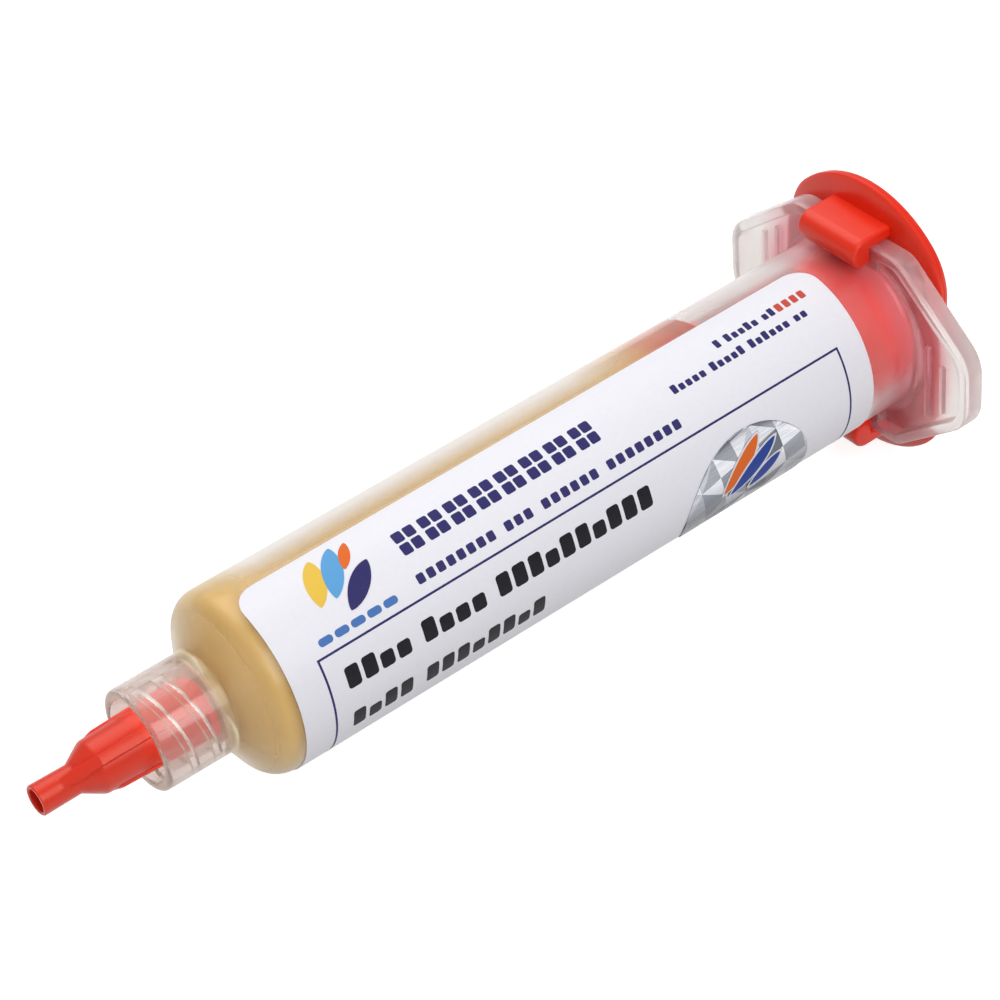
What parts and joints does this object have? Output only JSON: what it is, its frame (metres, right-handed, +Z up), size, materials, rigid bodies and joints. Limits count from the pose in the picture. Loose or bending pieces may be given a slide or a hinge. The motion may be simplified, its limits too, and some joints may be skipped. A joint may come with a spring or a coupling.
{
  "type": "flux syringe",
  "caption": "Pre-filled dispensing syringe with a winged flange, Luer-lock nozzle, tip cap, clip-on end cap, wiping piston, paste filling and a wrapped paper label.",
  "frame": {"origin": "on the ground under the middle of the part's length and width, as the syringe lies at rest", "axes": "+X along the ground from the nozzle end to the end cap; +Y to the far flange wing; +Z up, away from the ground. The syringe's own axis leans 4.69 degrees up towards the end cap"},
  "size_m": [0.1008, 0.0336, 0.0313],
  "materials": {
    "milky_polypropylene": "clear to slightly milky polypropylene, smooth",
    "red_polyethylene": "satin red-orange polyethylene",
    "red_piston_plastic": "satin red polyethylene",
    "flux_paste": null,
    "label_paper": "white coated paper",
    "foil": "faceted silver foil"
  },
  "bodies": {
    "barrel": {"barrel": "milky_polypropylene", "end_cap": "red_polyethylene", "flux_paste": "flux_paste", "label": "label_paper", "foil_sticker": "foil"},
    "piston": {"piston": "red_piston_plastic"},
    "tip_cap": {"tip_cap": "red_polyethylene"}
  },
  "joints": [
    {"name": "piston_slide", "type": "slide", "parent": "barrel", "child": "piston", "axis": [-0.9967, 0, -0.0817], "range_m": [0, 0.053], "deforming": ["flux_paste"]},
    {"name": "tip_cap_pull", "type": "slide", "parent": "barrel", "child": "tip_cap", "axis": [-0.9967, 0, -0.0817], "range_m": [0, 0.02]}
  ]
}
